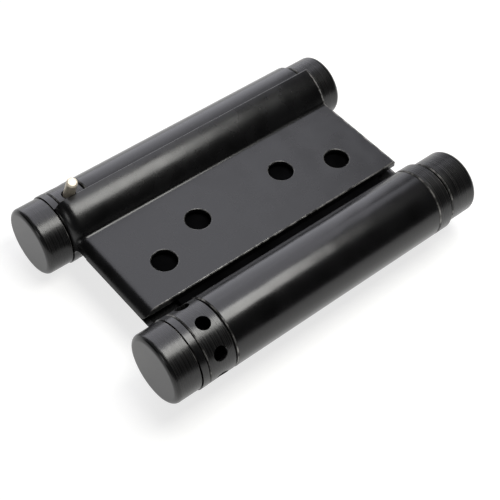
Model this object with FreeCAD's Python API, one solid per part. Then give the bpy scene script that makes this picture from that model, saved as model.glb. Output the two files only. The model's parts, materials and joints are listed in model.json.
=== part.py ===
import FreeCAD, Part
import math
import os

# Double-action spring hinge for a swing door, in millimetres.
# Two pressed leaves lie on both sides of an S-shaped web. The web's edges are rolled
# into two spring barrels, and each leaf curls over its barrel as a saddle and turns
# down at the near end into an ear that carries the barrel's spindle.
# X runs along the barrels with the adjusting rings at -X, +Y points to the door barrel
# and +Z is the outer side of the door leaf. The origin is on the jamb leaf's outer
# face, at mid-length and midway between the barrels.
# Each barrel is drawn in its own frame (x, v, w): v away from the other barrel,
# w towards its leaf's outer side. Angles run from the other barrel up over the leaf.

# Sheets
LEAF_LENGTH = 74.9
LEAF_SHEET = 1.6
LEAF_PAST_MIDDLE = 11.2
WEB_SHEET = 1.2
SHEET_GAP = 0.25
AXIS_PITCH = 46.8
AXIS_DROP = 1.83
VALLEY_R = 1.2
SADDLE_EDGE_DEG = 80.8
EDGE_R = 0.3
FOLD_R = 3.4
FLANGE_GAP = 0.3
FLANGE_CORNER_R = 1.3
EAR_FILLET_R = 2.5
SEAM_GAP = 0.3

# Screw holes of a leaf, from mid-length and from the middle line
SCREW_R = 3.0
SINK_DEPTH = 0.7
RIM_R = 0.25
SCREW_CENTRE_X = 1.0
SCREW_OUTER_SPACING = 51.6
SCREW_OUTER_Y = -1.9
SCREW_INNER_SPACING = 25.0
SCREW_INNER_Y = 3.15

# Barrel and what turns in it
BARREL_R = 8.5
COLLAR_LENGTH = 4.05
ANCHOR_DEPTH = 6.0
FAR_GAP = 0.8
CAP_OVERLAP = 0.8
BREAK = 0.35
FIT = 0.02
RUN_FIT = 0.05
RUN_GAP = 0.05

# Adjusting ring and stop pin
RING_LENGTH = 7.1
RING_STEP = 0.05
RING_WALL = 0.8
RING_GAP = 0.2
RING_HOLES = 7
RING_HOLE_R = 1.7
RING_HOLE_INSET = 3.4
RING_POCKET_REST = 0.55
HUB_R = 4.3
SPIGOT_LENGTH = 3.0
SPIGOT_FIT = 0.08
JAMB_RING_DEG = 55.5
PIN_R = 1.3
PIN_LEAN_DEG = 24.0
PIN_LENGTH = 8.6
PIN_INSIDE = 2.2
PIN_REST_GAP = 0.1

# Caps, spindle and washers
NEAR_CAP_LENGTH = 6.6
NEAR_CAP_STEP = 0.25
FAR_CAP_LENGTH = 7.9
FAR_CAP_STEP = 0.7
CAP_ROUND = 1.2
CAP_BREAK = 0.3
SPINDLE_R = 3.0
SPINDLE_SEAT = 4.4
SPINDLE_BREAK = 0.4
FRICTION_T = 0.2
THRUST_T = 0.5
WASHER_STEP = 0.9

# Torsion spring of square wire
WIRE_SIDE = 1.8
COIL_R = 5.4
COIL_TURNS = 12.5
COIL_END_GAP = 0.3
TANG_LENGTH = 4.0
TANG_FIT = 0.15
KNEE_COVER = 0.08
TANG_DEG = 115.0

# How far a cutting tool runs past what it cuts
PAST = 1.0

HALF_STACK = LEAF_SHEET + SHEET_GAP + WEB_SHEET / 2
TUBE_IN_R = BARREL_R - WEB_SHEET
SADDLE_IN_R = BARREL_R + SHEET_GAP
SADDLE_OUT_R = SADDLE_IN_R + LEAF_SHEET
RING_R = BARREL_R - RING_STEP
NEAR_CAP_R = BARREL_R - NEAR_CAP_STEP
FAR_CAP_R = BARREL_R - FAR_CAP_STEP
WASHER_R = TUBE_IN_R - WASHER_STEP
BORE_R = SPINDLE_R + RUN_FIT
SEAT_R = SPINDLE_R + FIT
WIRE_CORNER_R = WIRE_SIDE / math.sqrt(2)
KNEE_R = WIRE_CORNER_R + KNEE_COVER

# Stations along the barrel
X_NEAR = -LEAF_LENGTH / 2
X_FAR = LEAF_LENGTH / 2
EAR_FAR = X_NEAR + LEAF_SHEET
RING_NEAR = EAR_FAR + FRICTION_T + RUN_GAP
RING_FAR = RING_NEAR + RING_LENGTH
SPIGOT_FAR = RING_FAR + SPIGOT_LENGTH
TUBE_NEAR = RING_FAR + RING_GAP
FAR_CAP_NEAR = X_FAR - CAP_OVERLAP
BARREL_FAR = FAR_CAP_NEAR - FAR_GAP
COLLAR_NEAR = BARREL_FAR - COLLAR_LENGTH
ANCHOR_NEAR = COLLAR_NEAR - ANCHOR_DEPTH
HOLE_X = RING_NEAR + RING_HOLE_INSET

# Heights above the barrel's axis, and the valley where the plate runs into the saddle
W_OUT = HALF_STACK + AXIS_DROP
W_IN = W_OUT - LEAF_SHEET
W_FLANGE = AXIS_DROP + FLANGE_GAP / 2
W_DEEP = W_OUT - FOLD_R - PAST
W_WEB_TOP = AXIS_DROP + WEB_SHEET / 2
W_WEB_LOW = AXIS_DROP - WEB_SHEET / 2
V_MIDDLE = -AXIS_PITCH / 2
V_FREE = V_MIDDLE - LEAF_PAST_MIDDLE
W_VALLEY = W_OUT + VALLEY_R
V_VALLEY = -math.sqrt((SADDLE_OUT_R + VALLEY_R) ** 2 - W_VALLEY ** 2)
VALLEY_DEG = math.degrees(math.atan2(W_VALLEY, -V_VALLEY))

# The pin stands in a ring hole and leans on the saddle's free edge
PIN_PIVOT_R = RING_R - RING_WALL / 2
PIN_REACH = PIN_R + PIN_REST_GAP - PIN_PIVOT_R * math.sin(math.radians(PIN_LEAN_DEG))
PIN_DEG = SADDLE_EDGE_DEG + math.degrees(math.asin(PIN_REACH / SADDLE_OUT_R))
DOOR_RING_DEG = PIN_DEG + PIN_LEAN_DEG

ALONG = FreeCAD.Vector(1, 0, 0)
ORIGIN = FreeCAD.Vector(0, 0, 0)
VALLEY = FreeCAD.Vector(0, V_VALLEY, W_VALLEY)


def at(v, w):
    """Point of the barrel's cross-section."""
    return FreeCAD.Vector(0, v, w)


def polar(radius, degrees, centre=ORIGIN):
    """Point of the cross-section at a radius and an angle."""
    a = math.radians(degrees)
    return centre + at(-radius * math.cos(a), radius * math.sin(a))


def line(p, q):
    """Straight edge."""
    return Part.LineSegment(p, q).toShape()


def arc(radius, start, end, centre=ORIGIN):
    """Round edge between two angles."""
    middle = (start + end) / 2
    ends = [polar(radius, d, centre) for d in (start, middle, end)]
    return Part.Arc(*ends).toShape()


def prism(edges, x0, x1):
    """Solid of a closed cross-section between two stations."""
    face = Part.Face(Part.Wire(edges))
    face.translate(ALONG * x0)
    return face.extrude(ALONG * (x1 - x0))


def turned(profile):
    """Solid of revolution about the barrel's axis from (station, radius) corners."""
    points = [FreeCAD.Vector(x, 0, r) for x, r in profile]
    face = Part.Face(Part.makePolygon(points + points[:1]))
    return face.revolve(ORIGIN, ALONG, 360)


def round_rims(solid, station, radius, size):
    """Rounds the circular rims of one radius at one station."""
    rims = []
    for edge in solid.Edges:
        if not isinstance(edge.Curve, Part.Circle):
            continue
        same_station = abs(edge.CenterOfMass.x - station) < 1e-6
        if same_station and abs(edge.Curve.Radius - radius) < 1e-6:
            rims.append(edge)
    return solid.makeFillet(size, rims)


def end_edges(solid, station):
    """Edges of the outer contour (plate, valley, saddle) at one end of the leaf."""
    found = []
    for edge in solid.Edges:
        ends = [v.Point for v in edge.Vertexes]
        flat = all(abs(p.x - station) < 1e-6 for p in ends)
        high = all(p.z > W_IN for p in ends)
        middle = edge.valueAt((edge.FirstParameter + edge.LastParameter) / 2)
        reach = math.hypot(middle.y, middle.z)
        if flat and high and reach > SADDLE_IN_R and len(ends) == 2:
            upright = abs(ends[0].y - V_FREE) < 1e-6 and abs(ends[1].y - V_FREE) < 1e-6
            radial = min(math.hypot(p.y, p.z) for p in ends) < SADDLE_IN_R
            if not upright and not radial:
                found.append(edge)
    return found


def leaf_fill(x0, x1):
    """Leaf's outer contour, filled down past its fold to the barrel's axis."""
    edges = [
        line(at(V_FREE, W_OUT), at(V_VALLEY, W_OUT)),
        arc(VALLEY_R, 270, 180 + VALLEY_DEG, VALLEY),
        arc(SADDLE_OUT_R, VALLEY_DEG, SADDLE_EDGE_DEG),
        line(polar(SADDLE_OUT_R, SADDLE_EDGE_DEG), ORIGIN),
        line(ORIGIN, at(V_FREE, W_DEEP)),
        line(at(V_FREE, W_DEEP), at(V_FREE, W_OUT)),
    ]
    return prism(edges, x0, x1)


def leaf_hollow():
    """Space under the leaf's sheet, from behind the near wall to past the far end."""
    open_deg = SADDLE_EDGE_DEG + 10
    edges = [
        line(at(V_FREE - PAST, W_IN), at(V_VALLEY, W_IN)),
        arc(VALLEY_R + LEAF_SHEET, 270, 180 + VALLEY_DEG, VALLEY),
        arc(SADDLE_IN_R, VALLEY_DEG, open_deg),
        line(polar(SADDLE_IN_R, open_deg), at(PAST, -PAST)),
        line(at(PAST, -PAST), at(V_FREE - PAST, W_DEEP - PAST)),
        line(at(V_FREE - PAST, W_DEEP - PAST), at(V_FREE - PAST, W_IN)),
    ]
    return prism(edges, EAR_FAR, X_FAR + PAST)


def leaf_shell():
    """Leaf's sheet with the near end folded down to the flange and the far end eased."""
    block = leaf_fill(X_NEAR, X_FAR)
    block = block.makeFillet(FOLD_R, end_edges(block, X_NEAR))
    block = block.makeFillet(EDGE_R, end_edges(block, X_FAR))
    x0, x1 = X_NEAR - PAST, EAR_FAR + PAST
    low = min(W_DEEP, 0) - PAST
    corners = [at(V_FREE - PAST, low), at(PAST, low), at(PAST, W_FLANGE), at(V_FREE - PAST, W_FLANGE)]
    sides = [line(corners[i - 1], corners[i]) for i in range(4)]
    below = prism(sides, x0, x1).cut(ear(x0, x1))
    rest = ear(X_NEAR, EAR_FAR).cut(leaf_fill(x0, x1))
    return block.cut([leaf_hollow(), below]).fuse(rest)


def corner_tool(corner, side, top, radius, x0, x1):
    """Cuts an edge that runs along X to a radius; side and top point out of the sheet."""
    start = corner - side * radius
    end = corner - top * radius
    centre = start - top * radius
    middle = centre + (side + top) * (radius / math.sqrt(2))
    edges = [
        Part.Arc(start, middle, end).toShape(),
        line(end, end + side * PAST),
        line(end + side * PAST, corner + (side + top) * PAST),
        line(corner + (side + top) * PAST, start + top * PAST),
        line(start + top * PAST, start),
    ]
    return prism(edges, x0, x1)


def ear(x0, x1):
    """Ear's disc on the barrel's axis, with the fillet that joins it to the flange."""
    disc = Part.makeCylinder(BARREL_R, x1 - x0, ALONG * x0, ALONG)
    w_c = W_FLANGE - EAR_FILLET_R
    v_c = -math.sqrt((BARREL_R + EAR_FILLET_R) ** 2 - w_c ** 2)
    meet = math.degrees(math.atan2(w_c, -v_c))
    edges = [
        arc(EAR_FILLET_R, 90, 180 + meet, at(v_c, w_c)),
        line(polar(BARREL_R, meet), at(-BARREL_R / 2, W_FLANGE)),
        line(at(-BARREL_R / 2, W_FLANGE), at(v_c, W_FLANGE)),
    ]
    return disc.fuse(prism(edges, x0, x1))


def far_lip():
    """Lip at the saddle's far end that turns in to seat on the far cap."""
    inner = FAR_CAP_R + FIT
    edges = [
        arc(inner, VALLEY_DEG, SADDLE_EDGE_DEG),
        line(polar(inner, SADDLE_EDGE_DEG), polar(SADDLE_IN_R, SADDLE_EDGE_DEG)),
        arc(SADDLE_IN_R, SADDLE_EDGE_DEG, VALLEY_DEG),
        line(polar(SADDLE_IN_R, VALLEY_DEG), polar(inner, VALLEY_DEG)),
    ]
    return prism(edges, FAR_CAP_NEAR + CAP_BREAK, X_FAR)


def screw_hole(x, v):
    """Through hole with a countersink from the inner face and an eased outer rim."""
    wide = SCREW_R + SINK_DEPTH + PAST
    rim = SCREW_R + RIM_R
    slant = RIM_R * math.sqrt(0.5)
    profile = [
        (0, W_IN - PAST),
        (wide, W_IN - PAST),
        (SCREW_R, W_IN + SINK_DEPTH),
        (SCREW_R, W_OUT - RIM_R),
        (rim - slant, W_OUT - RIM_R + slant),
        (rim, W_OUT),
        (rim, W_OUT + PAST),
        (0, W_OUT + PAST),
    ]
    points = [FreeCAD.Vector(x + r, v, w) for r, w in profile]
    edges = [line(points[i - 1], points[i]) for i in (0, 1, 2, 3, 6, 7)]
    edges.insert(4, Part.Arc(*points[3:6]).toShape())
    face = Part.Face(Part.Wire(edges))
    return face.revolve(points[0], FreeCAD.Vector(0, 0, 1), 360)


def leaf():
    """Pressed leaf: plate, valley, saddle, folded near wall with ear, far lip and holes."""
    solid = leaf_shell().fuse(far_lip())
    out_v = FreeCAD.Vector(0, -1, 0)
    out_w = FreeCAD.Vector(0, 0, 1)
    edge_r = polar(1, SADDLE_EDGE_DEG)
    edge_t = polar(1, SADDLE_EDGE_DEG + 90)
    x0, x1 = X_NEAR - PAST, X_FAR + PAST
    tools = [
        corner_tool(at(V_FREE, W_OUT), out_v, out_w, EDGE_R, x0, x1),
        corner_tool(polar(SADDLE_OUT_R, SADDLE_EDGE_DEG), edge_t, edge_r, EDGE_R, EAR_FAR, x1),
        corner_tool(at(V_FREE, W_FLANGE), out_v, -out_w, FLANGE_CORNER_R, x0, EAR_FAR),
        Part.makeCylinder(SEAT_R, LEAF_SHEET + 2 * PAST, ALONG * x0, ALONG),
    ]
    for spacing, y in ((SCREW_OUTER_SPACING, SCREW_OUTER_Y), (SCREW_INNER_SPACING, SCREW_INNER_Y)):
        for side in (-1, 1):
            tools.append(screw_hole(SCREW_CENTRE_X + side * spacing / 2, V_MIDDLE + y))
    return solid.cut(tools).removeSplitter()


def web_half(x_far):
    """Half of the web: plate from the middle line, valley, and the rolled barrel."""
    end_deg = 360 + math.degrees(math.asin((W_WEB_LOW - SEAM_GAP) / BARREL_R))
    upper_r = W_VALLEY - W_WEB_TOP
    lower_r = W_VALLEY - W_WEB_LOW
    edges = [
        line(at(V_MIDDLE, W_WEB_TOP), at(V_VALLEY, W_WEB_TOP)),
        arc(upper_r, 270, 180 + VALLEY_DEG, VALLEY),
        arc(BARREL_R, VALLEY_DEG, end_deg),
        line(polar(BARREL_R, end_deg), polar(TUBE_IN_R, end_deg)),
        arc(TUBE_IN_R, end_deg, VALLEY_DEG),
        arc(lower_r, 180 + VALLEY_DEG, 270, VALLEY),
        line(at(V_VALLEY, W_WEB_LOW), at(V_MIDDLE, W_WEB_LOW)),
        line(at(V_MIDDLE, W_WEB_LOW), at(V_MIDDLE, W_WEB_TOP)),
    ]
    return prism(edges, TUBE_NEAR, x_far).cut([tube_break(TUBE_NEAR, 1), tube_break(x_far, -1)])


def tube_break(station, way):
    """Breaks the outer edge of a tube's end."""
    past = SHEET_GAP / 2
    profile = [
        (station - way * PAST, BARREL_R - BREAK),
        (station, BARREL_R - BREAK),
        (station + way * (BREAK + past), BARREL_R + past),
        (station - way * PAST, BARREL_R + past),
    ]
    return turned(profile)


def adjusting_ring(first_deg):
    """Slotted cup that winds the spring: holed wall, hub, spigot and tang hole."""
    pocket = RING_NEAR + RING_HOLE_INSET + RING_HOLE_R + RING_POCKET_REST
    wall_in = RING_R - RING_WALL
    spigot_r = TUBE_IN_R - SPIGOT_FIT
    profile = [
        (RING_NEAR, RING_R - BREAK),
        (RING_NEAR + BREAK, RING_R),
        (RING_FAR - BREAK, RING_R),
        (RING_FAR, RING_R - BREAK),
        (RING_FAR, spigot_r),
        (SPIGOT_FAR - BREAK, spigot_r),
        (SPIGOT_FAR, spigot_r - BREAK),
        (SPIGOT_FAR, BORE_R),
        (RING_NEAR, BORE_R),
        (RING_NEAR, HUB_R),
        (pocket, HUB_R),
        (pocket, wall_in),
        (RING_NEAR, wall_in),
    ]
    tools = [tang_hole(SPIGOT_FAR, -1, first_deg + TANG_DEG)]
    for i in range(RING_HOLES):
        d = first_deg + i * 360 / RING_HOLES
        start = polar(wall_in - RING_WALL, d) + ALONG * HOLE_X
        tools.append(Part.makeCylinder(RING_HOLE_R, 2 * RING_WALL + PAST, start, polar(1, d)))
    return turned(profile).cut(tools)


def tang_hole(station, way, degrees):
    """Blind hole for a spring tang, going in from a face at a station."""
    depth = TANG_LENGTH - KNEE_R - COIL_END_GAP + TANG_FIT
    start = polar(COIL_R, degrees) + ALONG * (station - way * PAST)
    return Part.makeCylinder(WIRE_CORNER_R + TANG_FIT, depth + PAST, start, ALONG * way)


def stop_pin():
    """Loose pin in a ring hole, leaning on the saddle's free edge."""
    pin = Part.makeCylinder(PIN_R, PIN_LENGTH, ORIGIN, polar(1, PIN_DEG))
    pin = pin.makeChamfer(BREAK, [e for e in pin.Edges if isinstance(e.Curve, Part.Circle)])
    seat = polar(PIN_PIVOT_R, DOOR_RING_DEG) - polar(PIN_INSIDE, PIN_DEG)
    pin.translate(seat + ALONG * HOLE_X)
    return pin


def anchor(shoulder):
    """Spring anchor in the barrel's far end, with or without a shoulder that closes it."""
    plug_r = TUBE_IN_R - FIT
    profile = [
        (ANCHOR_NEAR, BORE_R),
        (ANCHOR_NEAR, plug_r - BREAK),
        (ANCHOR_NEAR + BREAK, plug_r),
    ]
    if shoulder:
        profile += [
            (COLLAR_NEAR, plug_r),
            (COLLAR_NEAR, BARREL_R - BREAK),
            (COLLAR_NEAR + BREAK, BARREL_R),
            (BARREL_FAR - BREAK, BARREL_R),
            (BARREL_FAR, BARREL_R - BREAK),
        ]
    else:
        profile += [(BARREL_FAR - BREAK, plug_r), (BARREL_FAR, plug_r - BREAK)]
    return turned(profile + [(BARREL_FAR, BORE_R)])


def anchor_with_tang(shoulder, first_deg):
    """Anchor with the hole that holds the spring's far tang."""
    end_deg = first_deg + TANG_DEG - 360 * COIL_TURNS
    return anchor(shoulder).cut(tang_hole(ANCHOR_NEAR, 1, end_deg))


def torsion_spring(first_deg):
    """Coil with a tang at each end, wound between the ring's spigot and the anchor."""
    x0 = SPIGOT_FAR + COIL_END_GAP + KNEE_R
    x1 = ANCHOR_NEAR - COIL_END_GAP - KNEE_R
    pitch = (x1 - x0) / COIL_TURNS
    start_deg = first_deg + TANG_DEG
    end_deg = start_deg - 360 * COIL_TURNS
    path = Part.makeHelix(pitch, x1 - x0, COIL_R)
    heading = FreeCAD.Vector(0, 2 * math.pi * COIL_R, pitch).normalize()
    outward = FreeCAD.Vector(1, 0, 0)
    section = square(outward * COIL_R, outward, heading.cross(outward))
    coil = Part.Wire(path).makePipeShell([Part.Wire(section)], True, True)
    coil.rotate(ORIGIN, FreeCAD.Vector(0, 1, 0), 90)
    coil.rotate(ORIGIN, ALONG, 270 - start_deg)
    coil.translate(ALONG * x0)
    pieces = []
    for x, degrees, way in ((x0, start_deg, -1), (x1, end_deg, 1)):
        end = polar(COIL_R, degrees)
        pieces.append(Part.makeSphere(KNEE_R, end + ALONG * x))
        sides = square(end, polar(1, degrees), polar(1, degrees + 90))
        pieces.append(prism(sides, x, x + way * TANG_LENGTH))
    return coil.fuse(pieces)


def square(centre, out, across):
    """Sides of the wire's square section."""
    half = WIRE_SIDE / 2
    signs = ((-1, -1), (1, -1), (1, 1), (-1, 1))
    corners = [centre + out * (half * a) + across * (half * b) for a, b in signs]
    return [line(corners[i - 1], corners[i]) for i in range(4)]


def cap(closed_end, open_end, radius):
    """Turned end cap with a rounded closed end and a blind seat for the spindle."""
    way = 1 if open_end > closed_end else -1
    profile = [
        (closed_end, 0),
        (closed_end, radius),
        (open_end - way * CAP_BREAK, radius),
        (open_end, radius - CAP_BREAK),
        (open_end, SEAT_R),
        (open_end - way * (SPINDLE_SEAT + FIT), SEAT_R),
        (open_end - way * (SPINDLE_SEAT + FIT), 0),
    ]
    return round_rims(turned(profile), closed_end, radius, CAP_ROUND)


def spindle():
    """Shaft through ear, ring and anchor, seated in both caps."""
    x0 = X_NEAR - SPINDLE_SEAT
    x1 = FAR_CAP_NEAR + SPINDLE_SEAT
    profile = [
        (x0, 0),
        (x0, SPINDLE_R - SPINDLE_BREAK),
        (x0 + SPINDLE_BREAK, SPINDLE_R),
        (x1 - SPINDLE_BREAK, SPINDLE_R),
        (x1, SPINDLE_R - SPINDLE_BREAK),
        (x1, 0),
    ]
    return turned(profile)


def washer(x0, thickness):
    """Flat washer on the spindle."""
    x1 = x0 + thickness
    return turned([(x0, BORE_R), (x0, WASHER_R), (x1, WASHER_R), (x1, BORE_R)])


def on_door(shape):
    """Moves a barrel-frame shape to the door barrel."""
    shape.translate(at(AXIS_PITCH / 2, HALF_STACK - AXIS_DROP))
    return shape


def on_jamb(shape):
    """Moves a barrel-frame shape to the jamb barrel, turned over."""
    shape.rotate(ORIGIN, ALONG, 180)
    shape.translate(at(-AXIS_PITCH / 2, HALF_STACK + AXIS_DROP))
    return shape


def barrel_pieces(first_deg, shoulder):
    """Pieces that both barrels have, in the barrel's own frame."""
    return {
        "leaf": leaf(),
        "near_cap": cap(X_NEAR - NEAR_CAP_LENGTH, X_NEAR, NEAR_CAP_R),
        "far_cap": cap(FAR_CAP_NEAR + FAR_CAP_LENGTH, FAR_CAP_NEAR, FAR_CAP_R),
        "spindle": spindle(),
        "friction_washer": washer(EAR_FAR, FRICTION_T),
        "thrust_washer": washer(FAR_CAP_NEAR - THRUST_T, THRUST_T),
        "adjusting_ring": adjusting_ring(first_deg),
        "torsion_spring": torsion_spring(first_deg),
        "anchor_collar" if shoulder else "anchor_plug": anchor_with_tang(shoulder, first_deg),
    }


def main():
    """Builds every piece and writes one file for each."""
    os.makedirs("parts", exist_ok=True)
    nodes = {}
    for name, shape in barrel_pieces(DOOR_RING_DEG, False).items():
        nodes["door_" + name] = on_door(shape)
    nodes["door_stop_pin"] = on_door(stop_pin())
    for name, shape in barrel_pieces(JAMB_RING_DEG, True).items():
        nodes["jamb_" + name] = on_jamb(shape)
    halves = on_door(web_half(BARREL_FAR)).fuse(on_jamb(web_half(COLLAR_NEAR)))
    nodes["centre_web"] = halves.removeSplitter()
    for name, shape in nodes.items():
        solids = shape.Solids
        print(name, len(solids), shape.isValid(), round(shape.Volume, 2))
        solids[0].exportStep("parts/" + name + ".step")


main()
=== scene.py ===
import json
import logging
import math
from dataclasses import dataclass, field
from enum import Enum

import bpy
from mathutils import Matrix, Vector


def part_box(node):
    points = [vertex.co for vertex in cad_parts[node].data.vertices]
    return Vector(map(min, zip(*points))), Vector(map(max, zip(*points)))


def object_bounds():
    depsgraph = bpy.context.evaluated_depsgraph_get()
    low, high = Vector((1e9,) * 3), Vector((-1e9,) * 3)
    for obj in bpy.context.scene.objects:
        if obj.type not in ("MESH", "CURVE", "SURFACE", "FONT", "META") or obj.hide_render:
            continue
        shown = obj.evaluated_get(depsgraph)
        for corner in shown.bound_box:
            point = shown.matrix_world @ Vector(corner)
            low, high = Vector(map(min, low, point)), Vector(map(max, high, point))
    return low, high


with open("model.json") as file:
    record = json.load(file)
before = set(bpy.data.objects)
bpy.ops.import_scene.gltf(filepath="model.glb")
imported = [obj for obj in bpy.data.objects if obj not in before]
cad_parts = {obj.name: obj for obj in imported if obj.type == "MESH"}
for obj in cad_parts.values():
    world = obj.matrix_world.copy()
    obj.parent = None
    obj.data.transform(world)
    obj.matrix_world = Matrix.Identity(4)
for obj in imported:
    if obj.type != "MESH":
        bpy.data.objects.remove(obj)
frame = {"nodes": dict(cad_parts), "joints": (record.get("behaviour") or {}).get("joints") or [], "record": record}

log = logging.getLogger("hinge")

Colour = tuple[float, float, float]
Point = tuple[float, float, float]
Socket = bpy.types.NodeSocket

CAD_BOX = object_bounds()
MM = 0.001

# Most of a noise lies between these two values
NOISE_LOW = 0.3
NOISE_HIGH = 0.7

# Half width of the web's flat, and the step over which a value changes at its sides
FLAT_HALF = 14.9 * MM
FLAT_STEP = 0.5 * MM

# Rubbed line at the end of a tube or turned piece: distance from the end face, half width
END_INSET = 0.2 * MM
END_HALF = 0.16 * MM

# Room between the floor and the lowest piece
FLOOR_GAP = 0.1 * MM


class Side(Enum):
    """The two sides of the hinge, each with its own barrel."""

    DOOR = "door"
    JAMB = "jamb"


@dataclass
class NodeGraph:
    """Shader nodes of one material, with short ways to add and join them.

    Attributes:
        material: The material that the nodes belong to.
    """

    material: bpy.types.Material

    @classmethod
    def start(cls, name: str) -> "NodeGraph":
        """Makes a material with an empty node tree.

        Args:
            name: Name of the material.

        Returns:
            The graph of the new material.
        """
        material = bpy.data.materials.new(name)
        material.use_nodes = True
        material.node_tree.nodes.clear()
        return cls(material)

    def add(self, kind: str, **settings: object) -> bpy.types.Node:
        """Adds a node.

        Args:
            kind: Blender's type name of the node.
            **settings: Attributes of the node to set.

        Returns:
            The new node.
        """
        node = self.material.node_tree.nodes.new(kind)
        for key, value in settings.items():
            setattr(node, key, value)
        return node

    def join(self, out: Socket, into: Socket) -> None:
        """Links an output to an input."""
        self.material.node_tree.links.new(out, into)

    def place(self) -> Socket:
        """Place on the object, in metres."""
        return self.add("ShaderNodeTexCoord").outputs["Object"]

    def part(self, axis: str) -> Socket:
        """One coordinate of the place on the object.

        Args:
            axis: X, Y or Z.

        Returns:
            The coordinate, in metres.
        """
        parts = self.add("ShaderNodeSeparateXYZ")
        self.join(self.place(), parts.inputs["Vector"])
        return parts.outputs[axis]

    def noise(self, scale: float, detail: float = 2.0, place: Socket | None = None) -> Socket:
        """Noise over the object's own coordinates.

        Args:
            scale: How many features there are per metre.
            detail: Octaves of finer noise.
            place: Where the noise is read, if not at the place on the object.

        Returns:
            The noise value, about 0 to 1.
        """
        node = self.add("ShaderNodeTexNoise")
        node.inputs["Scale"].default_value = scale
        node.inputs["Detail"].default_value = detail
        self.join(self.place() if place is None else place, node.inputs["Vector"])
        return node.outputs["Fac"]

    def math(self, kind: str, one: Socket, two: Socket | float | None = None) -> Socket:
        """Arithmetic with one value or two.

        Args:
            kind: Blender's name of the operation.
            one: The first value.
            two: The second value, if any: an output or a number.

        Returns:
            The result.
        """
        node = self.add("ShaderNodeMath", operation=kind)
        self.join(one, node.inputs[0])
        if isinstance(two, (int, float)):
            node.inputs[1].default_value = two
        elif two is not None:
            self.join(two, node.inputs[1])
        return node.outputs["Value"]

    def fade(
        self, value: Socket, start: float, end: float, first: float, last: float
    ) -> Socket:
        """Maps a value from one range onto another.

        Args:
            value: The value to map.
            start: Where the first result is reached.
            end: Where the last result is reached.
            first: The result at the start and before it.
            last: The result at the end and after it.

        Returns:
            The mapped value.
        """
        node = self.add("ShaderNodeMapRange")
        ends = {"From Min": start, "From Max": end, "To Min": first, "To Max": last}
        for key, number in ends.items():
            node.inputs[key].default_value = number
        self.join(value, node.inputs["Value"])
        return node.outputs["Result"]

    def outside(self, half: float, top: float) -> Socket:
        """Zero near the middle of the hinge, and a top level from a distance out along Y."""
        apart = self.math("ABSOLUTE", self.part("Y"))
        return self.fade(apart, half - FLAT_STEP, half, 0.0, top)

    def blend(self, share: Socket, colour: Socket, other: Colour) -> Socket:
        """Mixes a fixed colour into a colour.

        Args:
            share: How much of the fixed colour, 0 to 1.
            colour: The colour to start from.
            other: The fixed linear colour.

        Returns:
            The mixed colour.
        """
        node = self.add("ShaderNodeMixRGB")
        node.inputs["Color2"].default_value = (*other, 1.0)
        self.join(share, node.inputs["Fac"])
        self.join(colour, node.inputs["Color1"])
        return node.outputs["Color"]

    def spread(self, noise: Socket, low: float, high: float) -> Socket:
        """Maps a noise onto a range, from its low values to its high ones."""
        return self.fade(noise, NOISE_LOW, NOISE_HIGH, low, high)

    def tint(self, noise: Socket, dark: Colour, light: Colour) -> Socket:
        """Colour between two shades.

        Args:
            noise: The noise that chooses between the shades.
            dark: Linear colour where the noise is low.
            light: Linear colour where it is high.

        Returns:
            The colour.
        """
        ramp = self.add("ShaderNodeValToRGB")
        stops = ramp.color_ramp.elements
        for stop, position, colour in zip(stops, (NOISE_LOW, NOISE_HIGH), (dark, light)):
            stop.position = position
            stop.color = (*colour, 1.0)
        self.join(noise, ramp.inputs["Fac"])
        return ramp.outputs["Color"]

    def bump(
        self, height: Socket, strength: float, depth: float, under: Socket | None = None
    ) -> Socket:
        """Surface relief.

        Args:
            height: Height of the relief, 0 to 1.
            strength: How strongly it shows.
            depth: Its depth, in metres.
            under: Relief that this one lies on, if any.

        Returns:
            The bumped normal.
        """
        node = self.add("ShaderNodeBump")
        node.inputs["Strength"].default_value = strength
        node.inputs["Distance"].default_value = depth
        self.join(height, node.inputs["Height"])
        if under is not None:
            self.join(under, node.inputs["Normal"])
        return node.outputs["Normal"]

    def seen_ray(self) -> Socket:
        """Tells the rays that show the background from those that light the object.

        Returns:
            One for a ray that the camera, a gloss or a glass sends, else zero.
        """
        path = self.add("ShaderNodeLightPath")
        total = path.outputs["Is Camera Ray"]
        for kind in ("Is Glossy Ray", "Is Transmission Ray"):
            total = self.math("MAXIMUM", total, path.outputs[kind])
        return total

    def finish(self, shader: bpy.types.Node) -> bpy.types.Material:
        """Sends a shader to the material's output.

        Args:
            shader: The shader node.

        Returns:
            The finished material.
        """
        output = self.add("ShaderNodeOutputMaterial")
        self.join(shader.outputs[0], output.inputs["Surface"])
        return self.material


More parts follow.
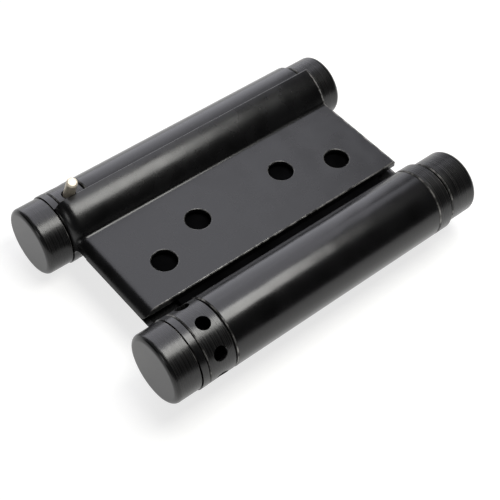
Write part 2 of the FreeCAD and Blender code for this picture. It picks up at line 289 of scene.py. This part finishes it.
@dataclass(frozen=True)
class EdgeWear:
    """Places where the coating is rubbed off an edge, so bare steel glints through.

    Attributes:
        stations: Places along X of the edges that run round a piece, in metres.
        lines: Y and Z of the edges that run along X, in metres.
        holes: X and Y of the screw holes, in metres.
        hole_face: Height of the face that the holes are in, in metres.
        hole_rim: Radius of the rim of a hole, in metres.
        hole_share: How strong the wear of a hole's rim is, against the other edges.
        half: Half width of the rubbed strip, in metres.
        amount: How much of the coating is gone, 0 to 1.
        beyond: Distance from the middle of the hinge inside which there is no wear, in metres.
        core: Share of the half width that is rubbed fully.
        line_reach: Half width of a line, against that of the strip.
        rim_reach: Half width of a hole's rim, against that of the strip.
        chip_scale: How many chips there are per metre.
        chip_detail: Octaves of finer chips.
        chip_edge: Noise at which a chip starts, and at which it is deepest.
        between: Share of the wear that is left between the chips.
    """

    stations: tuple[float, ...] = ()
    lines: tuple[tuple[float, float], ...] = ()
    holes: tuple[tuple[float, float], ...] = ()
    hole_face: float = 0.0
    hole_rim: float = 3.1 * MM
    hole_share: float = 0.25
    half: float = 0.28 * MM
    amount: float = 0.65
    beyond: float = 0.0
    core: float = 0.4
    line_reach: float = 1.3
    rim_reach: float = 0.9
    chip_scale: float = 700.0
    chip_detail: float = 4.0
    chip_edge: tuple[float, float] = (0.42, 0.62)
    between: float = 0.12

    def near(self, graph: NodeGraph, value: Socket, centre: float, half: float) -> Socket:
        """One where a value is at a centre, falling to zero at a distance from it."""
        apart = graph.math("ABSOLUTE", graph.math("SUBTRACT", value, centre))
        return graph.fade(apart, self.core * half, half, 1.0, 0.0)

    def reach(self, graph: NodeGraph, counted: Point, point: Point) -> Socket:
        """Distance from a point, counted only along some axes.

        Args:
            graph: The material's nodes.
            counted: One for each axis that counts, else zero.
            point: The point, zero on the other axes.

        Returns:
            The distance, in metres.
        """
        flat = graph.add("ShaderNodeVectorMath", operation="MULTIPLY")
        flat.inputs[1].default_value = counted
        graph.join(graph.place(), flat.inputs[0])
        far = graph.add("ShaderNodeVectorMath", operation="DISTANCE")
        far.inputs[1].default_value = point
        graph.join(flat.outputs["Vector"], far.inputs[0])
        return far.outputs["Value"]

    def line(self, graph: NodeGraph, y: float, z: float) -> Socket:
        """Mask of the rubbed strip, 0 to 1, of an edge that runs along X at a Y and Z."""
        away = self.reach(graph, (0.0, 1.0, 1.0), (0.0, y, z))
        return graph.fade(away, self.core * self.half, self.line_reach * self.half, 1.0, 0.0)

    def rim(self, graph: NodeGraph, x: float, y: float) -> Socket:
        """The rubbed rim of a screw hole.

        Args:
            graph: The material's nodes.
            x: Place of the hole along X, in metres.
            y: Place of the hole along Y, in metres.

        Returns:
            The mask, 0 to the share that a hole's rim has.
        """
        away = self.reach(graph, (1.0, 1.0, 0.0), (x, y, 0.0))
        rim = self.near(graph, away, self.hole_rim, self.rim_reach * self.half)
        top = self.near(graph, graph.part("Z"), self.hole_face, self.half)
        top = graph.fade(top, 0.0, 1.0, 0.0, self.hole_share)
        return graph.math("MULTIPLY", rim, top)

    def mask(self, graph: NodeGraph) -> Socket | None:
        """Where the steel shows.

        Args:
            graph: The material's nodes.

        Returns:
            The mask, 0 to the wear's amount, or None if there is no wear.
        """
        spots = [self.near(graph, graph.part("X"), x, self.half) for x in self.stations]
        spots += [self.line(graph, y, z) for y, z in self.lines]
        spots += [self.rim(graph, x, y) for x, y in self.holes]
        if not spots:
            return None
        total = spots[0]
        for spot in spots[1:]:
            total = graph.math("MAXIMUM", total, spot)
        noise = graph.noise(self.chip_scale, self.chip_detail)
        chips = graph.fade(noise, *self.chip_edge, self.between * self.amount, self.amount)
        total = graph.math("MULTIPLY", total, chips)
        if self.beyond:
            total = graph.math("MULTIPLY", total, graph.outside(self.beyond, 1.0))
        return total


@dataclass(frozen=True)
class BlackCoat:
    """Satin black coating: faint mottling, a fine grain and rubbed edges.

    Attributes:
        name: Name of the material.
        wear: Where the coating is rubbed off.
        dark: Linear colour of the darker mottle.
        light: Linear colour of the lighter mottle.
        steel: Linear colour of the steel under the coating.
        smooth: Roughness of the glossier patches.
        rough: Roughness of the duller patches.
        gloss: Specular level of the coating.
        mottle_scale: How many patches there are per metre.
        detail: Octaves of finer noise in the patches or lathe rings.
        grain_scale: How many grains there are per metre.
        grain_strength: How strongly the grain shows.
        grain_depth: Depth of the grain, in metres.
        wave_scale: How many waves of the sheet there are per metre.
        wave_detail: Octaves of finer waves.
        wave_depth: Depth of the waves, in metres.
    """

    name: str
    wear: EdgeWear = EdgeWear()
    dark: Colour = (0.0012, 0.0012, 0.0013)
    light: Colour = (0.0032, 0.0032, 0.0035)
    steel: Colour = (0.46, 0.45, 0.43)
    smooth: float = 0.23
    rough: float = 0.31
    gloss: float = 0.5
    mottle_scale: float = 160.0
    detail: float = 3.0
    grain_scale: float = 6000.0
    grain_strength: float = 0.10
    grain_depth: float = 0.02 * MM
    wave_scale: float = 120.0
    wave_detail: float = 1.0
    wave_depth: float = 0.1 * MM

    def pattern(self, graph: NodeGraph) -> Socket:
        """The noise that colour and gloss follow."""
        return graph.noise(self.mottle_scale, self.detail)

    def rubbed(self, graph: NodeGraph) -> Socket | None:
        """Where the steel shows through the coating, or None if it does nowhere."""
        return self.wear.mask(graph)

    def shader(self, graph: NodeGraph) -> bpy.types.Node:
        """The coating with its worn edges.

        Args:
            graph: The material's nodes.

        Returns:
            The shader node.
        """
        shader = graph.add("ShaderNodeBsdfPrincipled")
        shader.inputs["Specular IOR Level"].default_value = self.gloss
        pattern = self.pattern(graph)
        colour = graph.tint(pattern, self.dark, self.light)
        bare = self.rubbed(graph)
        if bare is not None:
            colour = graph.blend(bare, colour, self.steel)
            graph.join(bare, shader.inputs["Metallic"])
        graph.join(colour, shader.inputs["Base Color"])
        roughness = graph.spread(pattern, self.smooth, self.rough)
        graph.join(roughness, shader.inputs["Roughness"])
        return shader

    def grain(self, graph: NodeGraph) -> Socket:
        """Fine grain of the coating."""
        noise = graph.noise(self.grain_scale)
        return graph.bump(noise, self.grain_strength, self.grain_depth)

    def relief(self, graph: NodeGraph) -> Socket:
        """Fine grain on a faint waviness of the sheet."""
        waves = graph.noise(self.wave_scale, self.wave_detail)
        return graph.bump(waves, 1.0, self.wave_depth, self.grain(graph))

    def make(self) -> bpy.types.Material:
        """Builds the material.

        Returns:
            The finished material.
        """
        graph = NodeGraph.start(self.name)
        shader = self.shader(graph)
        graph.join(self.relief(graph), shader.inputs["Normal"])
        return graph.finish(shader)


@dataclass(frozen=True)
class BarrelCoat(BlackCoat):
    """Coating on the web, with painted shade: ambient occlusion turns its reflection down where other pieces close
    it in.

    Attributes:
        crevice: Distance within which a piece closes the surface in and casts painted shade, in metres.
        closed: Share of open surroundings at which the painted shade is full and the reflection is gone.
        opened: Share of open surroundings at which there is no painted shade and the reflection is full.
        rays: How many directions the occlusion tries at a point.
        kept: Share of the reflection that a barrel keeps under the painted shade.
    """

    smooth: float = 0.20
    rough: float = 0.25
    crevice: float = 8.0 * MM
    closed: float = 0.94
    opened: float = 1.0
    rays: int = 16
    kept: float = 0.65

    def shader(self, graph: NodeGraph) -> bpy.types.Node:
        """The coating, with painted shade: the reflection of the flat is turned off in its crevices, so they
        render dead black, and the barrels keep part of theirs.

        Args:
            graph: The material's nodes.

        Returns:
            The shader node.
        """
        shader = super().shader(graph)
        # Painted shade: ambient occlusion turns the reflection down where other pieces close the surface in
        around = graph.add("ShaderNodeAmbientOcclusion", samples=self.rays)
        around.inputs["Distance"].default_value = self.crevice
        level = graph.fade(around.outputs["AO"], self.closed, self.opened, 0.0, self.gloss)
        # The barrels keep part of their reflection under the painted shade
        barrels = graph.outside(FLAT_HALF, self.kept * self.gloss)
        level = graph.math("MAXIMUM", level, barrels)
        graph.join(level, shader.inputs["Specular IOR Level"])
        return shader


@dataclass(frozen=True)
class TurnedBlack(BlackCoat):
    """Black coating over turned steel: the lathe's fine rings show through.

    Attributes:
        axis_y: Place of the lathe axis along Y, in metres.
        axis_z: Place of the lathe axis along Z, in metres.
        pitch: Distance between the lathe rings, in metres.
        groove: Depth of the rings, in metres.
        crest: How much of the coating is gone on the highest rings, 0 to 1.
        crest_edge: Height at which a ring starts to be rubbed, and at which it is most.
        hollow: Radius inside which a bored piece gets painted shade, its reflection turned off so that it renders
            dead black, in metres, or 0.
        hollow_step: Depth over which the painted shade fades in, in metres.
    """

    smooth: float = 0.21
    rough: float = 0.36
    axis_y: float = 0.0
    axis_z: float = 0.0
    pitch: float = 0.18 * MM
    groove: float = 0.03 * MM
    crest: float = 0.07
    crest_edge: tuple[float, float] = (0.5, 0.7)
    hollow: float = 0.0
    hollow_step: float = 0.1 * MM

    def pattern(self, graph: NodeGraph) -> Socket:
        """Height of the lathe rings, which colour and gloss follow.

        Args:
            graph: The material's nodes.

        Returns:
            The height, about 0 to 1, which changes only along X.
        """
        packed = graph.add("ShaderNodeCombineXYZ")
        graph.join(graph.part("X"), packed.inputs["X"])
        return graph.noise(1.0 / self.pitch, self.detail, packed.outputs["Vector"])

    def rubbed(self, graph: NodeGraph) -> Socket:
        """Where the steel shows: at the worn edges and on the highest lathe rings.

        Args:
            graph: The material's nodes.

        Returns:
            The mask, 0 to 1.
        """
        crests = graph.fade(self.pattern(graph), *self.crest_edge, 0.0, self.crest)
        edges = super().rubbed(graph)
        return crests if edges is None else graph.math("MAXIMUM", edges, crests)

    def relief(self, graph: NodeGraph) -> Socket:
        """Lathe rings round the wall of the piece, on a fine grain."""
        return graph.bump(self.pattern(graph), 1.0, self.groove, self.grain(graph))

    def shader(self, graph: NodeGraph) -> bpy.types.Node:
        """The coating, with painted shade inside a bored piece: its reflection is turned off there, so it renders
        dead black.

        Args:
            graph: The material's nodes.

        Returns:
            The shader node.
        """
        shader = super().shader(graph)
        # Painted shade: no reflection inside the bore and the holes, by distance from the lathe axis
        if self.hollow:
            axis = (0.0, self.axis_y, self.axis_z)
            radius = self.wear.reach(graph, (0.0, 1.0, 1.0), axis)
            start = self.hollow - self.hollow_step
            level = graph.fade(radius, start, self.hollow, 0.0, self.gloss)
            graph.join(level, shader.inputs["Specular IOR Level"])
        return shader


@dataclass(frozen=True)
class BareMetal:
    """Bare or plated metal with a fine drawn grain.

    Attributes:
        name: Name of the material.
        dark: Linear colour of the one kind of streaks.
        light: Linear colour of the other kind.
        smooth: Roughness of the one kind of streaks.
        rough: Roughness of the other kind.
        metal: How metallic it is, 0 to 1.
        streak_scale: How many streaks there are per metre.
        streak_detail: Octaves of finer streaks.
        grain_scale: How many grains there are per metre.
        grain_strength: How strongly the grain shows.
        grain_depth: Depth of the grain, in metres.
    """

    name: str
    dark: Colour
    light: Colour
    smooth: float = 0.22
    rough: float = 0.36
    metal: float = 1.0
    streak_scale: float = 1500.0
    streak_detail: float = 3.0
    grain_scale: float = 5000.0
    grain_strength: float = 0.08
    grain_depth: float = 0.02 * MM

    def make(self) -> bpy.types.Material:
        """Builds the material.

        Returns:
            The finished material.
        """
        graph = NodeGraph.start(self.name)
        shader = graph.add("ShaderNodeBsdfPrincipled")
        shader.inputs["Metallic"].default_value = self.metal
        streaks = graph.noise(self.streak_scale, self.streak_detail)
        colour = graph.tint(streaks, self.dark, self.light)
        graph.join(colour, shader.inputs["Base Color"])
        roughness = graph.spread(streaks, self.smooth, self.rough)
        graph.join(roughness, shader.inputs["Roughness"])
        noise = graph.noise(self.grain_scale)
        grain = graph.bump(noise, self.grain_strength, self.grain_depth)
        graph.join(grain, shader.inputs["Normal"])
        return graph.finish(shader)


def dress(node: str, material: bpy.types.Material) -> None:
    """Gives a CAD node its finish.

    Args:
        node: Name of the node.
        material: The finish.
    """
    piece = frame["nodes"][node]
    if not piece.material_slots:
        piece.data.materials.append(material)
    for place in piece.material_slots:
        place.material = material
    log.info("dressed %s in %s", node, material.name)


@dataclass
class LeafSide:
    """One leaf with the pieces that its spindle holds.

    Attributes:
        side: Which side of the hinge.
        axis_y: Place of the barrel's axis along Y, in metres.
        axis_z: Place of the barrel's axis along Z, in metres.
        edge_out: How far the saddle's free edge is from the axis along the leaf's normal,
            in metres.
        edge_in: How far it is from the axis towards the middle of the hinge, in metres.
        ring_skin: Depth below the adjusting ring's outer surface at which the painted shade of its bore and holes
            begins, so they render dead black, in metres.
        shoulder: Distance between the rubbed lines of the anchor collar's shoulder, in metres.
    """

    side: Side
    axis_y: float
    axis_z: float
    edge_out: float = 10.1 * MM
    edge_in: float = 1.45 * MM
    ring_skin: float = 0.2 * MM
    shoulder: float = 3.65 * MM

    def screws(self) -> tuple[tuple[tuple[float, float], ...], float]:
        """Where the leaf's screw holes are.

        Returns:
            X and Y of each hole, and the height of the face that they are in, in metres.
        """
        holes, face = [], 0.0
        for mount in frame["record"]["mounts"]:
            if mount["kind"] == "bolt_pattern" and mount["name"].startswith(self.side.value):
                x, y, face = mount["pos_m"]
                half = mount["dims"]["spacing_x_mm"] * MM / 2
                holes += [(x - half, y), (x + half, y)]
        return tuple(holes), face

    def leaf_wear(self) -> EdgeWear:
        """Rubbed edges of the leaf.

        Returns:
            Wear at the far end, the saddle's free edge, the plate's edge and the hole rims.
        """
        low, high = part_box(f"{self.side.value}_leaf")
        up = self.side is Side.DOOR
        out = 1.0 if up else -1.0
        holes, face = self.screws()
        free = (self.axis_y - out * self.edge_in, self.axis_z + out * self.edge_out)
        plate = (low[1] if up else high[1], face)
        return EdgeWear((high[0] - EdgeWear.half,), (free, plate), holes, face)

    def turned(self, piece: str, hollow: float = 0.0) -> TurnedBlack:
        """Finish of a piece that is turned about this barrel's axis.

        Args:
            piece: Name of the piece's node.
            hollow: Radius inside which it gets painted shade and renders dead black, in metres, or 0.

        Returns:
            The finish.
        """
        low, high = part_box(piece)
        near, far = low[0] + END_INSET, high[0] - END_INSET
        ends = {
            "near_cap": (far,),
            "far_cap": (near,),
            "anchor_collar": (far - self.shoulder, far),
        }
        stations = next((x for key, x in ends.items() if piece.endswith(key)), (near, far))
        return TurnedBlack(
            f"turned black, {piece}",
            EdgeWear(stations, half=END_HALF),
            axis_y=self.axis_y,
            axis_z=self.axis_z,
            hollow=hollow,
        )

    def build(self, bare: bpy.types.Material) -> None:
        """Dresses the leaf, the caps, the ring, the spindle, the washers and the anchor.

        Args:
            bare: Finish of the hidden steel pieces.
        """
        name = self.side.value
        dress(f"{name}_leaf", BlackCoat(f"black coat, {name} leaf", self.leaf_wear()).make())
        black = ["near_cap", "far_cap", "thrust_washer"]
        steel = ["spindle", "friction_washer"]
        if self.side is Side.JAMB:
            black.append("anchor_collar")
        else:
            steel.append("anchor_plug")
        for piece in black:
            dress(f"{name}_{piece}", self.turned(f"{name}_{piece}").make())
        ring = f"{name}_adjusting_ring"
        low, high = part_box(ring)
        # The ring's bore and holes get painted shade below this depth
        inside = (high[2] - low[2]) / 2 - self.ring_skin
        dress(ring, self.turned(ring, inside).make())
        for piece in steel:
            dress(f"{name}_{piece}", bare)


@dataclass
class SpringWeb:
    """The web with its rolled barrels and the springs inside them.

    Attributes:
        wire: Finish of the springs.
    """

    wire: BareMetal = field(
        default_factory=lambda: BareMetal("spring wire", (0.10, 0.10, 0.11), (0.16, 0.16, 0.17))
    )

    def build(self) -> None:
        """Dresses the web and both springs."""
        low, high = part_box("centre_web")
        ends = (low[0] + END_INSET, high[0] - END_INSET)
        wear = EdgeWear(ends, half=END_HALF, beyond=FLAT_HALF)
        dress("centre_web", BarrelCoat("black coat, barrels", wear).make())
        wire = self.wire.make()
        for side in Side:
            dress(f"{side.value}_torsion_spring", wire)


@dataclass
class StopPin:
    """The loose pin in the door barrel's ring.

    Attributes:
        plating: Finish of the pin.
    """

    plating: BareMetal = field(
        default_factory=lambda: BareMetal(
            "nickel plating",
            dark=(0.70, 0.61, 0.48),
            light=(0.85, 0.77, 0.64),
            smooth=0.38,
            rough=0.5,
            metal=0.4,
        )
    )

    def build(self) -> None:
        """Dresses the pin."""
        dress("door_stop_pin", self.plating.make())


@dataclass(frozen=True)
class Softbox:
    """A rectangular lamp.

    Attributes:
        name: Name of the lamp.
        place: Where it stands, in metres.
        width: Its first side, in metres.
        depth: Its second side, in metres.
        radiance: Brightness of its face.
        colour: Colour of its light.
        aim: The point that it faces, in metres.
    """

    name: str
    place: Point
    width: float
    depth: float
    radiance: float
    colour: Colour = (1.0, 1.0, 1.0)
    aim: Point = (0.0, 0.0, 0.0)

    def build(self) -> None:
        """Makes the lamp."""
        lamp = bpy.data.lights.new(self.name, "AREA")
        lamp.color = self.colour
        lamp.shape = "RECTANGLE"
        lamp.size = self.width
        lamp.size_y = self.depth
        lamp.energy = self.radiance * self.width * self.depth * math.pi
        rig = bpy.data.objects.new(self.name, lamp)
        rig.location = self.place
        way = Vector(self.place) - Vector(self.aim)
        rig.rotation_euler = way.to_track_quat("Z", "Y").to_euler()
        bpy.context.scene.collection.objects.link(rig)


# Colours of the lamps' light
WARM = (1.0, 0.995, 0.96)
COOL = (0.98, 0.98, 1.06)


@dataclass
class Studio:
    """Pale floor, soft lamps and the camera.

    Attributes:
        floor_z: Height of the floor, in metres.
        floor_reach: Half of the floor's side, in metres.
        floor_dark: Linear colour of the floor's darker mottle.
        floor_light: Linear colour of the floor's lighter mottle.
        floor_scale: How many patches of mottle the floor has per metre.
        glow: How much the floor is lifted towards white.
        fill: Brightness of the surroundings.
        eye: The camera's place, in metres.
        right: The camera's right direction.
        up: The camera's up direction.
        back: The direction from the scene to the camera.
        lens: Focal length, in millimetres.
        sensor: Width of the sensor, in millimetres.
        nearest: Distance at which the camera starts to see, in metres.
        lamps: The soft lamps.
    """

    floor_z: float
    floor_reach: float = 4.0
    floor_dark: Colour = (0.34, 0.34, 0.33)
    floor_light: Colour = (0.36, 0.36, 0.35)
    floor_scale: float = 3.0
    glow: float = 0.75
    fill: float = 0.04
    eye: Point = (-0.12046, -0.13106, 0.20383)
    right: Point = (0.7675, -0.6393, 0.0487)
    up: Point = (0.4701, 0.6127, 0.6353)
    back: Point = (-0.4360, -0.4647, 0.7707)
    lens: float = 83.28
    sensor: float = 36.0
    nearest: float = 0.01
    lamps: tuple[Softbox, ...] = (
        Softbox(
            "overhead box", (0.031, -0.042, 0.19), 0.123, 0.094, 9.5, WARM, (0.031, -0.042, 0.0)
        ),
        Softbox("rear panel", (0.22, 0.72, 0.274), 0.61, 0.61, 2.1, COOL),
        Softbox("top panel", (0.188, 0.325, 0.706), 0.55, 0.68, 2.05, COOL),
        Softbox("front strip", (-0.45, -0.04, 0.22), 0.10, 0.16, 3.0),
    )

    def floor_paint(self) -> bpy.types.Material:
        """Pale paint with a faint mottle, lifted to white where it is seen or mirrored.

        Returns:
            The floor's material.
        """
        graph = NodeGraph.start("white floor")
        paint = graph.add("ShaderNodeBsdfDiffuse")
        mottle = graph.noise(self.floor_scale)
        tint = graph.tint(mottle, self.floor_dark, self.floor_light)
        graph.join(tint, paint.inputs["Color"])
        lift = graph.add("ShaderNodeEmission")
        strength = graph.math("MULTIPLY", graph.seen_ray(), self.glow)
        graph.join(strength, lift.inputs["Strength"])
        both = graph.add("ShaderNodeAddShader")
        graph.join(paint.outputs["BSDF"], both.inputs[0])
        graph.join(lift.outputs["Emission"], both.inputs[1])
        return graph.finish(both)

    def build_floor(self) -> None:
        """Lays the floor just under the lowest piece."""
        r, z = self.floor_reach, self.floor_z
        mesh = bpy.data.meshes.new("floor")
        corners = [(-r, -r, z), (r, -r, z), (r, r, z), (-r, r, z)]
        mesh.from_pydata(corners, [], [(0, 1, 2, 3)])
        mesh.materials.append(self.floor_paint())
        floor = bpy.data.objects.new("floor", mesh)
        bpy.context.scene.collection.objects.link(floor)

    def build_world(self) -> None:
        """Sets the even light of the surroundings."""
        world = bpy.data.worlds.new("studio")
        world.use_nodes = True
        sky = world.node_tree.nodes["Background"]
        sky.inputs["Color"].default_value = (1.0, 1.0, 1.0, 1.0)
        sky.inputs["Strength"].default_value = self.fill
        bpy.context.scene.world = world

    def build_camera(self) -> None:
        """Sets the camera where the photograph was taken from."""
        data = bpy.data.cameras.new("camera")
        data.lens = self.lens
        data.sensor_width = self.sensor
        data.clip_start = self.nearest
        camera = bpy.data.objects.new("camera", data)
        axes = Matrix((self.right, self.up, self.back)).transposed()
        camera.matrix_world = Matrix.Translation(self.eye) @ axes.to_4x4()
        bpy.context.scene.collection.objects.link(camera)
        bpy.context.scene.camera = camera

    def build(self) -> None:
        """Sets up floor, light and camera."""
        self.build_floor()
        self.build_world()
        for lamp in self.lamps:
            lamp.build()
        self.build_camera()
        bpy.context.scene.view_settings.view_transform = "Standard"
        log.info("studio ready")


def joint_place(name: str) -> Point:
    """Where a joint of the frame turns.

    Args:
        name: Name of the joint.

    Returns:
        A point on its axis, in metres.
    """
    for joint in frame["joints"]:
        if joint["name"] == name:
            return tuple(joint["pos_m"])
    raise ValueError(f"no joint {name}")


def main() -> None:
    """Builds the hinge's looks and the studio."""
    logging.basicConfig(level=logging.INFO, format="%(message)s")
    bare = BareMetal("oiled steel", (0.05, 0.05, 0.05), (0.09, 0.09, 0.09)).make()
    for side in Side:
        _, y, z = joint_place(f"{side.value}_swing")
        LeafSide(side, y, z).build(bare)
    SpringWeb().build()
    StopPin().build()
    Studio(floor_z=CAD_BOX[0][2] - FLOOR_GAP).build()


if __name__ == "__main__":
    main()
